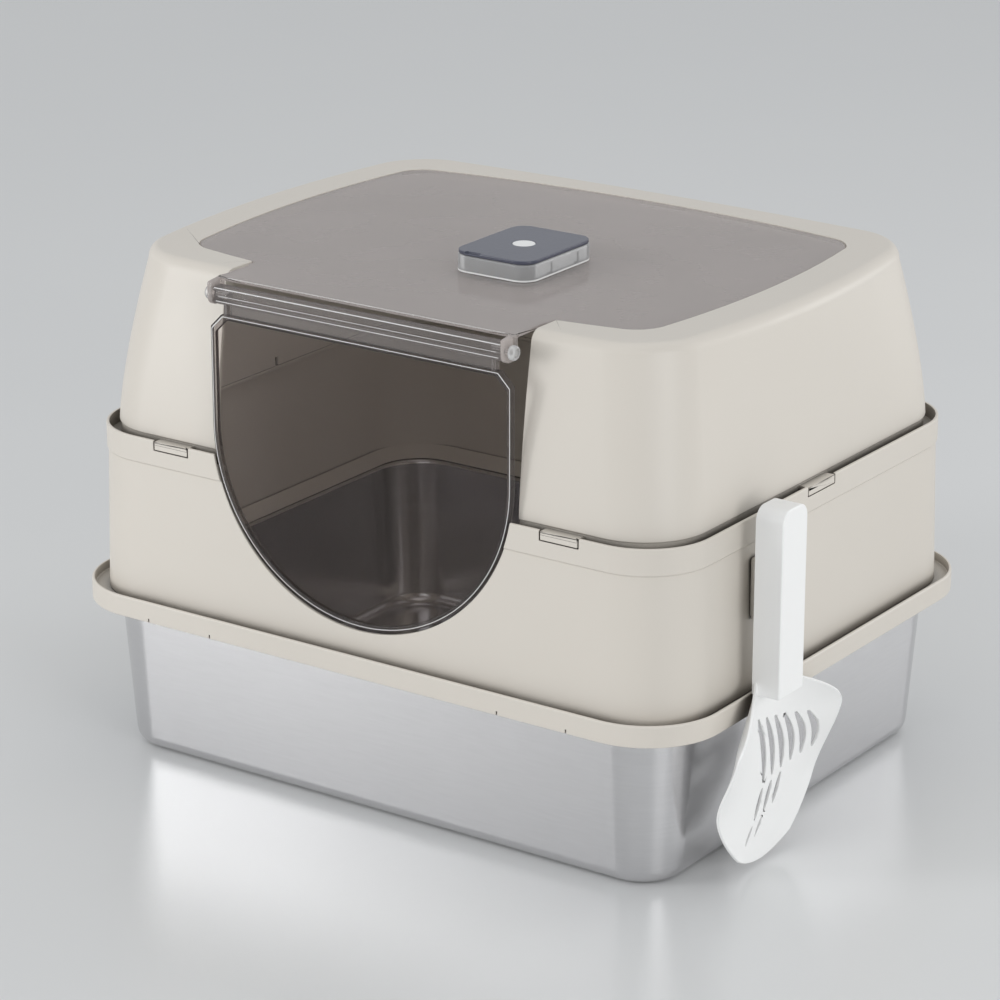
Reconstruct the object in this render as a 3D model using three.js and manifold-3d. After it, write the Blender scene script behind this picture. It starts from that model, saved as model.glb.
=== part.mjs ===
// Hooded cat litter box: a steel pan, a plastic rim ring, a splash fence, a tapered hood with a
// tinted top panel and a swinging entry flap, a clip-on deodorizer box and a scoop on a side hook.
// Millimetres, +Z up, X along the front, the front faces -Y, origin at the middle of the pan's
// underside.

import * as THREE from "three";
import { mergeVertices } from "three/addons/utils/BufferGeometryUtils.js";
import Module from "manifold-3d";

const wasm = await Module();
wasm.setup();

// ---------------------------------------------------------------- driving dimensions

const GAP = 0.3; // clearance between pieces that rest on each other
const RING = { x: 250, y: 200.9, r: 54.6 }; // outer outline of the rim ring: half sizes and corner
const FENCE = { x: 239.8, y: 190.7, r: 49.3 }; // outer outline at the foot of the fence
const HOOD = { x: 231.5, y: 182.3, r: 46.8 }; // outer outline at the foot of the hood
const PAN = { x: 231.5, y: 182.5, r: 40 }; // inside line of the pan's mouth
const CORNER_STEPS = 6;

const PAN_SHEET = 1;
const PAN_FLANGE_TOP = 114.2;
const PAN_FLANGE_WIDTH = 14.1;
const PAN_WALL_LEAN = 8; // how far the foot of the wall stands inside the mouth
const PAN_FILLET = 11;

const SKIRT_BOTTOM = 108.1;
const RING_LIP_TOP = 122.9;
const RING_WEB_BOTTOM = PAN_FLANGE_TOP + GAP;
const RING_WEB_TOP = RING_WEB_BOTTOM + 2;
const RING_WALL = 1.8;
const RING_UPSTAND_TOP = 124.5;
const RING_WEB_WIDTH = 14; // the web reaches this far in from the ring's outer face
const TONGUE_IN = 117.5; // the ring's snap tongues, measured from the middle of front and rear
const TONGUE_OUT = 170.5;
const TONGUE_SLIT = 1; // width of the slits that free each tongue
const TONGUE_SLOT = { half: 19, out: 3.4, width: 4.2 }; // the hole in the web above each tongue
const BARB = { half: 22, height: 1.9 }; // the tongue's barb below the pan's rolled edge

const FENCE_FOOT = RING_WEB_TOP + GAP;
const FENCE_TOP = 235.2;
const FENCE_WALL = 2.4;
const FENCE_LEAN = 2.6;
const BAND_HEIGHT = 17.4; // the proud band round the top of the fence
const BAND_INSET = 1.5;
const LEDGE_TOP = 225.6; // the hood's plug stands on this ledge
const LEDGE_DEPTH = 11.6;

const HOOD_FOOT = 236.1;
const HOOD_TOP = 357;
const HOOD_WALL = 2.6;
const HOOD_ROUND = 9; // rounding between wall and top
const HOOD_LEAN = { x: 4.1, y: 10.1, r: 5.4 }; // what the outline loses from foot to top
const HOOD_BOW = { x: 0.08, y: 0.05 }; // how much the top outline bows out between its corners
const LEAN_POWER = 1.39;
const TOP_PLATE_UNDER = 351;

const DOOR_HALF = 121.5; // entry cut-out: half width, and the centre of its half-round bottom
const DOOR_CENTRE_Z = 258;

const PANEL_THICK = 2.5;
const PANEL_TOP = 356.4;
const PANEL = { x: 193, rear: 143, front: 147.5, tongue: 118, nose: 181, r: 18 };
const PANEL_BOW = { x: 0.0925, y: 0.17 };
const PANEL_SEAT = 8; // width of the ledge below the panel's edge
const CHEEK = { x: 114.6, thick: 3.6, front: 192.5, rear: 178.5, bottom: 339.6 };

const HINGE = { y: -186, z: 346.3 };
const PIN_RADIUS = 2.2;
const BAR = { half: 114.2, depth: 10.6, height: 11.6, round: 2.6 };
const FLAP = { half: 120, thick: 2.5, top: 333, chamfer: 9, border: 7, proud: 0.9 };

const CASE = { x: 30, y: -43.5, w: 62, d: 80, r: 12, wall: 1.6, h: 11.4 };
const LID_THICK = 2.4;
const PAD_RADIUS = 7.7;

const CLIPS_FRONT = [142, 171]; // snap clips of the hood, from the middle of front and rear
const CLIPS_SIDE = [-21, 13]; // and along each side
const CLIP_BOTTOM = 228.8;

const SCOOP = { y: -94, back: 251.4, neck: 131, top: 249, tip: 4 };
const HANDLE = { w: 30, d: 20, wall: 1.8, r: 6 };
const BLADE = { half: 65, deep: 20, thick: 1.8, lean: 2 };
const BLADE_SHOULDER = 0.3; // share of the blade's length over which it opens to its full width
const BLADE_CURL = 0.22; // where along the blade its sides stand highest
const BLADE_FLAT = 0.72; // and where they have flattened out
const BLADE_SLOTS = { count: 6, pitch: 11, half: 2.4, reach: 22, taper: 3, shift: 18 };
const HOOK_SLOPE = Math.PI / 3; // the hook's arm rises outward at this angle
const HOOK = { rootX: 241, rootZ: 172, thick: 3.4, gap: 1.7, width: 10, tipX: 261 };
const HOOK_PLATE = { half: 5, bottom: 168, top: 208, face: 238.8, thick: 3 };
const HOOK_Y = SCOOP.y + 6; // the hook stands behind the far half of the handle

// ---------------------------------------------------------------- finishes

const plastic = (color, roughness) => new THREE.MeshStandardMaterial({ color, roughness, metalness: 0 });
const steel = new THREE.MeshStandardMaterial({ color: 0xd2d2d6, roughness: 0.25, metalness: 1 });
const beige = plastic(0xd8d2c8, 0.45);
const smoke = plastic(0x8f8a86, 0.12);
const clear = plastic(0xc9c9c8, 0.08);
const slate = plastic(0x787c8a, 0.3);
const white = plastic(0xf5f7f6, 0.35);
const charcoal = plastic(0x2b2b2d, 0.95);

// ---------------------------------------------------------------- solids

// A closed geometry becomes a solid for joining and cutting.
function solid(geometry) {
  const bare = geometry.clone();
  bare.deleteAttribute("normal");
  bare.deleteAttribute("uv");
  const merged = mergeVertices(bare, 1e-4);
  return new wasm.Manifold(
    new wasm.Mesh({
      numProp: 3,
      vertProperties: merged.attributes.position.array,
      triVerts: new Uint32Array(merged.index.array),
    }),
  );
}

function geometryOf(body) {
  const mesh = body.getMesh();
  const geometry = new THREE.BufferGeometry();
  geometry.setAttribute("position", new THREE.BufferAttribute(mesh.vertProperties, 3));
  geometry.setIndex(new THREE.BufferAttribute(mesh.triVerts, 1));
  geometry.computeVertexNormals();
  return geometry;
}

// A box given by its lowest and highest corners.
function block(low, high) {
  const size = high.map((value, axis) => value - low[axis]);
  const middle = high.map((value, axis) => (value + low[axis]) / 2);
  return solid(new THREE.BoxGeometry(...size).translate(...middle));
}

// A round bar along X from x0 to x1.
function rod(radius, x0, x1, y, z, sides = 20) {
  const bar = new THREE.CylinderGeometry(radius, radius, x1 - x0, sides);
  return solid(bar.rotateZ(Math.PI / 2).translate((x0 + x1) / 2, y, z));
}

// ---------------------------------------------------------------- rounded outlines

// The columns of a rounded rectangle, anticlockwise from +X: arcs at the corners, and the sides
// between them split into equal steps. Each column is a function that gives its point for any
// half sizes and corner radius.
function columns(sideSteps) {
  const list = [];
  const signs = [[1, 1], [-1, 1], [-1, -1], [1, -1]];
  for (let quarter = 0; quarter < 4; quarter++) {
    const from = signs[quarter];
    const to = signs[(quarter + 1) % 4];
    for (let step = 0; step <= CORNER_STEPS; step++) {
      const angle = ((quarter + step / CORNER_STEPS) * Math.PI) / 2;
      list.push((size) => new THREE.Vector2(
        from[0] * (size.x - size.r) + size.r * Math.cos(angle),
        from[1] * (size.y - size.r) + size.r * Math.sin(angle),
      ));
    }
    const endAngle = ((quarter + 1) * Math.PI) / 2;
    for (let step = 1; step < sideSteps; step++) {
      const part = step / sideSteps;
      list.push((size) => new THREE.Vector2(
        (from[0] + (to[0] - from[0]) * part) * (size.x - size.r) + size.r * Math.cos(endAngle),
        (from[1] + (to[1] - from[1]) * part) * (size.y - size.r) + size.r * Math.sin(endAngle),
      ));
    }
  }
  return list;
}

const shrink = (size, inset) => ({ x: size.x - inset, y: size.y - inset, r: Math.max(size.r - inset, 1) });

// Carries a wall section round an outline. The section's x is the depth inside the outline and its
// y is the height; it runs up the outer face and down the inner one. outlinePoint(column, depth,
// height) places each of its points.
function sweep(section, outlinePoint, sideSteps = 1) {
  const around = columns(sideSteps);
  const profile = section.getPoints(4);
  const ring = new THREE.LatheGeometry(profile, around.length);
  const position = ring.attributes.position;
  for (let i = 0; i <= around.length; i++) {
    profile.forEach((point, j) => {
      const place = outlinePoint(around[i % around.length], point.x, point.y);
      position.setXYZ(i * profile.length + j, place.x, place.y, point.y);
    });
  }
  return solid(ring);
}

const along = (outline) => (column, depth) => column(shrink(outline, depth));

function section(points) {
  const shape = new THREE.Shape();
  shape.moveTo(...points[0]);
  for (const point of points.slice(1)) {
    if (point.length === 4) shape.quadraticCurveTo(...point);
    else shape.lineTo(...point);
  }
  shape.closePath();
  return shape;
}

// A polygon with rounded corners, each corner [x, y, radius]; its sides are split into steps.
function roundedPolygon(corners, steps = 1) {
  const points = [];
  const count = corners.length;
  corners.forEach(([x, y, r], i) => {
    const here = new THREE.Vector2(x, y);
    const toPrevious = new THREE.Vector2(...corners[(i + count - 1) % count]).sub(here).normalize();
    const next = corners[(i + 1) % count];
    const toNext = new THREE.Vector2(...next).sub(here).normalize();
    const enter = here.clone().addScaledVector(toPrevious, r);
    const leave = here.clone().addScaledVector(toNext, r);
    if (r > 0) points.push(...new THREE.QuadraticBezierCurve(enter, here, leave).getPoints(4));
    else points.push(here);
    const end = new THREE.Vector2(next[0], next[1]).addScaledVector(toNext, -next[2]);
    for (let step = 1; step < steps; step++) points.push(leave.clone().lerp(end, step / steps));
  });
  return points;
}

// A flat plate between two heights with the given outline.
function plate(points, bottom, top) {
  const shape = new THREE.Shape(points);
  return solid(new THREE.ExtrudeGeometry(shape, { depth: top - bottom, bevelEnabled: false })
    .translate(0, 0, bottom));
}

// An upright plate: the outline is drawn in X and Z, and it stands between y0 and y1.
function upright(points, y0, y1) {
  const shape = new THREE.Shape(points);
  return solid(new THREE.ExtrudeGeometry(shape, { depth: y1 - y0, bevelEnabled: false })
    .rotateX(Math.PI / 2).translate(0, y1, 0));
}

// A prism along X whose outline is drawn in Y and Z.
function prismX(points, x0, x1) {
  const shape = new THREE.Shape(points);
  const turn = new THREE.Matrix4().makeBasis(
    new THREE.Vector3(0, 1, 0), new THREE.Vector3(0, 0, 1), new THREE.Vector3(1, 0, 0));
  return solid(new THREE.ExtrudeGeometry(shape, { depth: x1 - x0, bevelEnabled: false })
    .applyMatrix4(turn).translate(x0, 0, 0));
}

// Two places on the same axis, mirrored to the given side and put in rising order.
const span = (side, a, b) => [side * a, side * b].sort((low, high) => low - high);

const rectangle = (halfX, halfY, r) =>
  roundedPolygon([[halfX, -halfY, r], [halfX, halfY, r], [-halfX, halfY, r], [-halfX, -halfY, r]]);

// ---------------------------------------------------------------- steel pan

function makePan() {
  const flange = PAN_FLANGE_TOP;
  const edge = -PAN_FLANGE_WIDTH;
  const lean = PAN_WALL_LEAN;
  const wall = section([
    [70, 0], [lean + PAN_FILLET, 0], [lean, 0, lean - 0.7, PAN_FILLET],
    [0, flange - 4], [-0.2, flange - PAN_SHEET, -3, flange - PAN_SHEET],
    [edge + PAN_SHEET, flange - PAN_SHEET], [edge + PAN_SHEET, flange - 3.4],
    [edge, flange - 3.4], [edge, flange - 0.8], [edge, flange, edge + 0.8, flange],
    [-3, flange], [1, flange, 1, flange - 4],
    [lean + 0.3, PAN_FILLET + 0.5], [lean + 1, PAN_SHEET, lean + PAN_FILLET, PAN_SHEET],
    [70, PAN_SHEET],
  ]);
  const floorSize = shrink(PAN, 60);
  const floor = plate(columns(1).map((column) => column({ ...floorSize, r: 6 })), 0, PAN_SHEET);
  return sweep(wall, along(PAN)).add(floor);
}

// ---------------------------------------------------------------- rim ring

function makeRing() {
  const web = RING_WEB_WIDTH;
  const outer = section([
    [web, RING_WEB_BOTTOM], [RING_WALL, RING_WEB_BOTTOM], [RING_WALL, SKIRT_BOTTOM],
    [0.6, SKIRT_BOTTOM], [0, SKIRT_BOTTOM + 0.6], [0, RING_LIP_TOP - 0.8],
    [0, RING_LIP_TOP, 0.8, RING_LIP_TOP], [RING_WALL, RING_LIP_TOP],
    [RING_WALL + 0.2, RING_WEB_TOP], [web, RING_WEB_TOP],
  ]);
  const inner = section([
    [9.3, RING_WEB_BOTTOM], [-0.5, RING_WEB_BOTTOM], [-0.5, RING_WEB_TOP],
    [FENCE_WALL + 0.4, RING_WEB_TOP], [FENCE_WALL + 0.4, RING_UPSTAND_TOP],
    [FENCE_WALL + 2, RING_UPSTAND_TOP], [9.3, RING_WEB_TOP - 0.8],
  ]);
  let ring = sweep(outer, along(RING)).add(sweep(inner, along(FENCE)));
  for (const face of [-1, 1]) {
    for (const side of [-1, 1]) {
      ring = cutTongue(ring, face, side);
    }
  }
  return ring;
}

// One snap tongue of the skirt: two slits, the hole above it and the barb inside it.
function cutTongue(ring, face, side) {
  const skirt = span(face, RING.y + 1, RING.y - RING_WALL - 0.5);
  let result = ring;
  for (const edge of [TONGUE_IN, TONGUE_OUT]) {
    const x = span(side, edge - TONGUE_SLIT / 2, edge + TONGUE_SLIT / 2);
    result = result.subtract(block(
      [x[0], skirt[0], SKIRT_BOTTOM - 1], [x[1], skirt[1], RING_WEB_BOTTOM - 0.8]));
  }
  const middle = side * (TONGUE_IN + TONGUE_OUT) / 2;
  const { half, out, width } = TONGUE_SLOT;
  const slot = span(face, RING.y - out, RING.y - out - width);
  const hole = block(
    [middle - half, slot[0], RING_WEB_BOTTOM - 1], [middle + half, slot[1], RING_WEB_TOP + 1]);
  const reach = span(face, RING.y - RING_WALL + 0.4, PAN.y + PAN_FLANGE_WIDTH + GAP);
  const foot = SKIRT_BOTTOM + 0.1;
  const barb = block(
    [middle - BARB.half, reach[0], foot], [middle + BARB.half, reach[1], foot + BARB.height]);
  return result.subtract(hole).add(barb);
}

// ---------------------------------------------------------------- splash fence

const doorOutline = (grow, top) => {
  const half = DOOR_HALF + grow;
  const round = new THREE.Path().absarc(0, DOOR_CENTRE_Z, half, Math.PI, 2 * Math.PI).getPoints(28);
  return [new THREE.Vector2(-half, top), ...round, new THREE.Vector2(half, top)];
};

// The hood's snap clips along the fence's band. For each one, place(outside, inside) gives the
// lowest and highest X and Y between those two depths behind the fence's outline.
const clips = [];
for (const side of [-1, 1]) {
  for (const face of [-1, 1]) {
    const x = span(side, ...CLIPS_FRONT);
    clips.push((outside, inside) => {
      const y = span(face, FENCE.y - outside, FENCE.y - inside);
      return { x, y, along: "x" };
    });
  }
  clips.push((outside, inside) => {
    const x = span(side, FENCE.x - outside, FENCE.x - inside);
    return { x, y: CLIPS_SIDE, along: "y" };
  });
}

// A block in a clip's place; slack shortens it at both ends along the wall.
function clipBlock(place, slack, bottom, top) {
  const trim = { x: place.along === "x" ? slack : 0, y: place.along === "y" ? slack : 0 };
  return block(
    [place.x[0] + trim.x, place.y[0] + trim.y, bottom], [place.x[1] - trim.x, place.y[1] - trim.y, top]);
}

function makeFence() {
  const bandFoot = FENCE_TOP - BAND_HEIGHT;
  const lip = BAND_INSET + 2;
  const wall = section([
    [FENCE_WALL, FENCE_FOOT], [0, FENCE_FOOT], [FENCE_LEAN, bandFoot - 1.2], [BAND_INSET, bandFoot],
    [BAND_INSET, FENCE_TOP - 1], [BAND_INSET, FENCE_TOP, BAND_INSET + 1, FENCE_TOP],
    [lip, FENCE_TOP - 0.2], [lip, LEDGE_TOP], [LEDGE_DEPTH, LEDGE_TOP], [LEDGE_DEPTH, LEDGE_TOP - 2],
    [FENCE_WALL + FENCE_LEAN, LEDGE_TOP - 5],
  ]);
  let fence = sweep(wall, along(FENCE));
  fence = fence.subtract(upright(doorOutline(0, 300), -FENCE.y - 20, -FENCE.y + 40));
  for (const clip of clips) {
    fence = fence.subtract(clipBlock(clip(0.5, lip + 0.6), -GAP, CLIP_BOTTOM - 0.5, FENCE_TOP + 1));
  }
  return fence;
}

// ---------------------------------------------------------------- hood

function hoodShare(height) {
  const part = (height - HOOD_FOOT) / (HOOD_TOP - HOOD_ROUND - HOOD_FOOT);
  return Math.min(Math.max(part, 0), 1) ** LEAN_POWER;
}

// The hood's outline leans in and bows between the corners towards the top.
function hoodPoint(column, depth, height) {
  const share = hoodShare(height);
  const size = {
    x: HOOD.x - HOOD_LEAN.x * share, y: HOOD.y - HOOD_LEAN.y * share, r: HOOD.r - HOOD_LEAN.r * share,
  };
  const point = column(shrink(size, depth));
  return new THREE.Vector2(
    point.x * (1 - HOOD_BOW.x * share * (point.y / size.y) ** 2),
    point.y * (1 - HOOD_BOW.y * share * (point.x / size.x) ** 2),
  );
}

// The T outline of the top panel; grow moves it outward, and its sides bow as the hood's do.
function panelOutline(grow, nose) {
  const { x, rear, front, tongue, r } = PANEL;
  const flat = roundedPolygon([
    [x + grow, rear + grow, r], [-x - grow, rear + grow, r], [-x - grow, -front - grow, r],
    [-tongue - grow, -front - grow, 3], [-tongue - grow, -nose, 0], [tongue + grow, -nose, 0],
    [tongue + grow, -front - grow, 3], [x + grow, -front - grow, r],
  ], 5);
  const onTongue = (point) => point.y < -front - grow - 0.1 || Math.abs(point.x) <= tongue + grow;
  return flat.map((point) => {
    const outside = Math.max(Math.abs(point.x) - tongue - grow, 0) / (x - tongue);
    const pull = PANEL_BOW.x * x * outside * (point.y / HOOD.y) ** 2;
    const flatTop = onTongue(point) && point.y < 0;
    const share = flatTop ? (tongue / HOOD.x) ** 2 : (point.x / HOOD.x) ** 2;
    return new THREE.Vector2(
      point.x - Math.sign(point.x) * pull,
      point.y < -front - grow - 0.1 ? point.y : point.y * (1 - PANEL_BOW.y * share),
    );
  });
}

function makeHood() {
  const levels = [255, 275, 295, 315, 333];
  const crown = HOOD_TOP - HOOD_ROUND;
  const wall = section([
    [HOOD_WALL + 0.8, LEDGE_TOP + GAP], [1.2, LEDGE_TOP + GAP], [1.2, HOOD_FOOT], [0, HOOD_FOOT],
    ...levels.map((height) => [0, height]), [0, crown], [0, HOOD_TOP, HOOD_ROUND, HOOD_TOP],
    [60, HOOD_TOP], [60, TOP_PLATE_UNDER], [12, TOP_PLATE_UNDER], [HOOD_WALL, crown - 6],
    ...levels.reverse().map((height) => [HOOD_WALL, height]), [HOOD_WALL, 240],
    [HOOD_WALL + 0.8, 238],
  ]);
  let hood = sweep(wall, hoodPoint, 6);
  const seat = PANEL_TOP - PANEL_THICK - GAP;
  hood = hood.subtract(plate(panelOutline(0.6, 215), seat, HOOD_TOP + 5));
  hood = hood.subtract(plate(panelOutline(-PANEL_SEAT, 215), TOP_PLATE_UNDER - 20, HOOD_TOP + 5));
  hood = hood.subtract(block([-DOOR_HALF, -220, LEDGE_TOP - 5], [DOOR_HALF, -138, HOOD_TOP + 5]));
  const clipTop = FENCE_TOP - 0.6;
  for (const clip of clips) {
    hood = hood.add(clipBlock(clip(BAND_INSET, 10.2), 0.4, FENCE_TOP - 3, clipTop));
    hood = hood.add(clipBlock(clip(BAND_INSET, 3.6), 0.4, CLIP_BOTTOM, clipTop));
  }
  return hood;
}

// ---------------------------------------------------------------- top panel and its cheeks

function makePanel() {
  let panel = plate(panelOutline(0, PANEL.nose), PANEL_TOP - PANEL_THICK, PANEL_TOP);
  for (const side of [-1, 1]) {
    const x = span(side, CHEEK.x, CHEEK.x + CHEEK.thick);
    const outline = roundedPolygon([
      [-CHEEK.front, PANEL_TOP, 1.5], [-CHEEK.front, CHEEK.bottom, 6],
      [-CHEEK.rear, CHEEK.bottom, 3], [-CHEEK.rear, PANEL_TOP - 1, 0], [-CHEEK.rear, PANEL_TOP, 0],
    ]);
    panel = panel.add(prismX(outline, ...x));
    panel = panel.subtract(rod(PIN_RADIUS + 0.15, x[0] - 1, x[1] + 1, HINGE.y, HINGE.z));
  }
  return panel;
}

// One hinge pin: a rod through the cheek into the bar, with a rounded head outside the cheek.
function makePin(side) {
  const root = CHEEK.x + CHEEK.thick + GAP;
  const shank = span(side, BAR.half - 9, root + 0.5);
  const cap = new THREE.LatheGeometry([
    new THREE.Vector2(0, 0), new THREE.Vector2(4.8, 0), new THREE.Vector2(4.8, 2.6),
    new THREE.Vector2(3.2, 4.2), new THREE.Vector2(0, 4.2),
  ], 20).rotateZ(-side * Math.PI / 2).translate(side * root, HINGE.y, HINGE.z);
  return rod(PIN_RADIUS, ...shank, HINGE.y, HINGE.z).add(solid(cap));
}

// ---------------------------------------------------------------- entry flap

function flapOutline(inset, top) {
  const half = FLAP.half - inset;
  const round = new THREE.Path().absarc(0, DOOR_CENTRE_Z, half, Math.PI, 2 * Math.PI).getPoints(28);
  const cut = FLAP.chamfer;
  return [
    new THREE.Vector2(-half + cut, top), new THREE.Vector2(-half, top - cut), ...round,
    new THREE.Vector2(half, top - cut), new THREE.Vector2(half - cut, top),
  ];
}

function makeFlap() {
  const front = HINGE.y - FLAP.thick / 2;
  const rear = HINGE.y + FLAP.thick / 2;
  const { border, proud, top } = FLAP;
  const bar = roundedPolygon([
    [HINGE.y - BAR.depth / 2, HINGE.z + BAR.height / 2, BAR.round],
    [HINGE.y - BAR.depth / 2, HINGE.z - BAR.height / 2, BAR.round],
    [HINGE.y + BAR.depth / 2, HINGE.z - BAR.height / 2, BAR.round],
    [HINGE.y + BAR.depth / 2, HINGE.z + BAR.height / 2, BAR.round],
  ]);
  const rim = upright(flapOutline(0, top), front - proud, rear + proud)
    .subtract(upright(flapOutline(border, top - border), front - 5, rear + 5));
  let flap = upright(flapOutline(0.6, top - 0.6), front, rear).add(rim);
  flap = flap.add(prismX(bar, -BAR.half, BAR.half));
  flap = flap.add(block([-BAR.half + 6, front + 0.2, top - 4], [BAR.half - 6, rear - 0.2, HINGE.z]));
  const knuckles = 9;
  for (let i = 0; i < knuckles; i++) {
    const x = (i / (knuckles - 1) - 0.5) * 2 * (BAR.half - 10);
    flap = flap.add(block([x - 2.5, front - 1.6, top - 3], [x + 2.5, rear + 1.6, HINGE.z - 3]));
  }
  for (const side of [-1, 1]) {
    const x = span(side, BAR.half - 10, BAR.half + 1);
    flap = flap.subtract(rod(PIN_RADIUS + GAP, ...x, HINGE.y, HINGE.z));
  }
  return flap;
}

// ---------------------------------------------------------------- deodorizer box

const CASE_FOOT = PANEL_TOP + GAP;
const CASE_TOP = CASE_FOOT + CASE.h;

const casePlate = (inset, bottom, top) =>
  plate(rectangle(CASE.w / 2 - inset, CASE.d / 2 - inset, CASE.r - inset), bottom, top);

function makeCase() {
  const { wall } = CASE;
  return casePlate(0, CASE_FOOT, CASE_TOP).subtract(casePlate(wall, CASE_FOOT + wall, CASE_TOP + 1));
}

function makeLid() {
  const top = CASE_TOP + GAP + LID_THICK;
  const thumb = [-CASE.w / 2 + 11, -CASE.w / 2 + 23];
  return casePlate(0.5, CASE_TOP + GAP, top)
    .add(casePlate(CASE.wall + GAP, CASE_TOP - 1.8, CASE_TOP + GAP + 0.4))
    .subtract(solid(new THREE.CylinderGeometry(PAD_RADIUS + GAP, PAD_RADIUS + GAP, 4, 32)
      .rotateX(Math.PI / 2).translate(0, 0, top + 2 - 1.6)))
    .subtract(block([thumb[0], -CASE.d / 2 - 1, top - 1.2], [thumb[1], -CASE.d / 2 + 2.4, top + 1]));
}

function makePad() {
  const top = CASE_TOP + GAP + LID_THICK;
  const disc = new THREE.CylinderGeometry(PAD_RADIUS, PAD_RADIUS, 1.3, 32);
  return solid(disc.rotateX(Math.PI / 2).translate(0, 0, top - 0.65));
}

function makeCharcoal() {
  return casePlate(CASE.wall + 2, CASE_FOOT + CASE.wall + GAP, CASE_TOP - 3);
}

// ---------------------------------------------------------------- scoop and its hook

// The blade's half width, floor line and side height, from the neck (0) to the tip (1).
const bladeHalf = (part) => {
  const open = Math.sin(Math.min(part / BLADE_SHOULDER, 1) * Math.PI / 2);
  const close = Math.max((part - 0.5) / 0.5, 0);
  return (15 + (BLADE.half - 15) * open) * (1 - 0.5 * close ** 2);
};
const bladeFloor = (part) => SCOOP.back + 1.2 - BLADE.lean * Math.max(part - 0.2, 0) / 0.8;
const bladeSide = (part) => {
  const rise = Math.sin(Math.min(part / BLADE_CURL, 1) * Math.PI / 2);
  return BLADE.deep * rise * (1 - 0.85 * THREE.MathUtils.smoothstep(part, BLADE_CURL, BLADE_FLAT));
};

function makeScoop() {
  const length = SCOOP.neck - SCOOP.tip;
  const sheet = new THREE.BoxGeometry(2, 1, 1, 16, 16, 1);
  const position = sheet.attributes.position;
  for (let i = 0; i < position.count; i++) {
    const across = position.getX(i);
    const part = 0.5 - position.getY(i);
    const face = position.getZ(i) + 0.5;
    const x = bladeFloor(part) + face * BLADE.thick + bladeSide(part) * Math.abs(across) ** 2.6;
    const tipRound = part * 9 * across ** 2;
    position.setXYZ(i, x, SCOOP.y + across * bladeHalf(part), SCOOP.neck - part * length + tipRound);
  }
  let scoop = solid(sheet);
  const { count, pitch, half, reach, taper, shift } = BLADE_SLOTS;
  for (let i = 0; i < count; i++) {
    const place = i - (count - 1) / 2;
    const y = SCOOP.y + shift + place * pitch;
    const long = reach - Math.abs(place) * taper;
    for (const [centre, up] of [[80, long], [42, long * 0.42]]) {
      const low = [SCOOP.back - 30, y - half, centre - up];
      scoop = scoop.subtract(block(low, [SCOOP.back + 50, y + half, centre + up]));
    }
  }
  return scoop.add(makeHandle());
}

function makeHandle() {
  const { w, d, wall, r } = HANDLE;
  const bar = (inset, x0, x1, bottom, top) => prismX(
    roundedPolygon([
      [SCOOP.y - w / 2 + inset, bottom, 1], [SCOOP.y + w / 2 - inset, bottom, 1],
      [SCOOP.y + w / 2 - inset, top, r + 3], [SCOOP.y - w / 2 + inset, top, r + 3],
    ]), x0, x1);
  const body = bar(0, SCOOP.back, SCOOP.back + d, SCOOP.neck - 8, SCOOP.top);
  const hollow = bar(wall, SCOOP.back - 5, SCOOP.back + d - wall, SCOOP.neck - 3, SCOOP.top - wall);
  const rib = slanted(HOOK.gap + 0.3, 2.4, [SCOOP.back + 0.6, SCOOP.back + 12], SCOOP.y, w / 2 - 1);
  return body.subtract(hollow).add(rib);
}

// A strip parallel to the hook's arm: lift above the arm's middle line, thickness, X range, and
// middle and half width in Y.
function slanted(lift, thick, [x0, x1], middle, halfWidth) {
  const rise = Math.tan(HOOK_SLOPE);
  const raise = lift / Math.cos(HOOK_SLOPE);
  const tall = thick / Math.cos(HOOK_SLOPE);
  const z = (x) => HOOK.rootZ + (x - HOOK.rootX) * rise + raise;
  const outline = [
    new THREE.Vector2(x0, z(x0)), new THREE.Vector2(x1, z(x1)),
    new THREE.Vector2(x1, z(x1) + tall), new THREE.Vector2(x0, z(x0) + tall),
  ];
  return upright(outline, middle - halfWidth, middle + halfWidth);
}

function makeHook() {
  const { half, bottom, top, face, thick } = HOOK_PLATE;
  const arm = slanted(-HOOK.thick / 2, HOOK.thick, [face + 1, HOOK.tipX], HOOK_Y, HOOK.width / 2);
  return block([face, HOOK_Y - half, bottom], [face + thick, HOOK_Y + half, top]).add(arm);
}

// ---------------------------------------------------------------- assembly

const litterBox = new THREE.Group();

function piece(name, body, material, x = 0, y = 0) {
  const mesh = new THREE.Mesh(geometryOf(body), material);
  mesh.name = name;
  mesh.position.set(x, y, 0);
  litterBox.add(mesh);
}

piece("steel_pan", makePan(), steel);
piece("rim_ring", makeRing(), beige);
piece("splash_fence", makeFence(), beige);
piece("hood_shell", makeHood(), beige);
piece("top_panel", makePanel(), smoke);
piece("hinge_pin_left", makePin(-1), clear);
piece("hinge_pin_right", makePin(1), clear);
piece("entry_flap", makeFlap(), smoke);
piece("deodorizer_case", makeCase(), clear, CASE.x, CASE.y);
piece("charcoal_pack", makeCharcoal(), charcoal, CASE.x, CASE.y);
piece("deodorizer_lid", makeLid(), slate, CASE.x, CASE.y);
piece("scent_pad", makePad(), white, CASE.x, CASE.y);
piece("scoop_hook", makeHook(), beige);
piece("litter_scoop", makeScoop(), white);

export default litterBox;
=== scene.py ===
import math

import bmesh
import bpy
from mathutils import Matrix, Vector


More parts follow.
